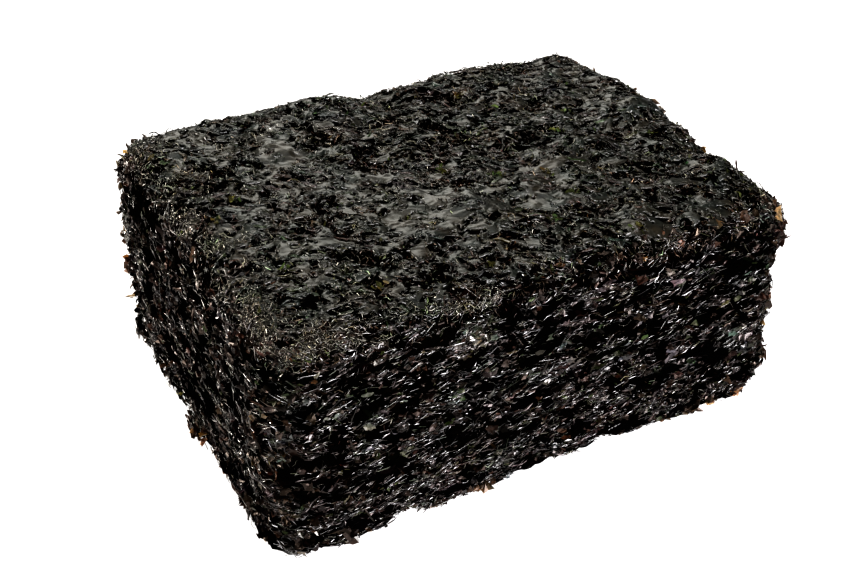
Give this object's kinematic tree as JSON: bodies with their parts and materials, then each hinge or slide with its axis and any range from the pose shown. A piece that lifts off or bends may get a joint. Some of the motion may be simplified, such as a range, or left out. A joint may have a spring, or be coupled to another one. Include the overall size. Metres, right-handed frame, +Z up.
{
  "type": "block of dried laver sheets",
  "caption": "Thick rectangular block of pressed dried laver sheets with ragged layered sides, rounded corners and a rumpled satin top.",
  "frame": {"origin": "middle of the flat base, on the surface that the block lies on", "axes": "+X along the sheets' long side, +Y along their short side towards the far side in the picture, +Z up"},
  "size_m": [0.2707, 0.2003, 0.1115],
  "materials": {
    "dried_laver": "near-black dried laver with a soft satin gloss, grey-green on the smooth top films and brown to green on single frond bits"
  },
  "bodies": {
    "root": {"nori_stack": "dried_laver"}
  },
  "joints": []
}
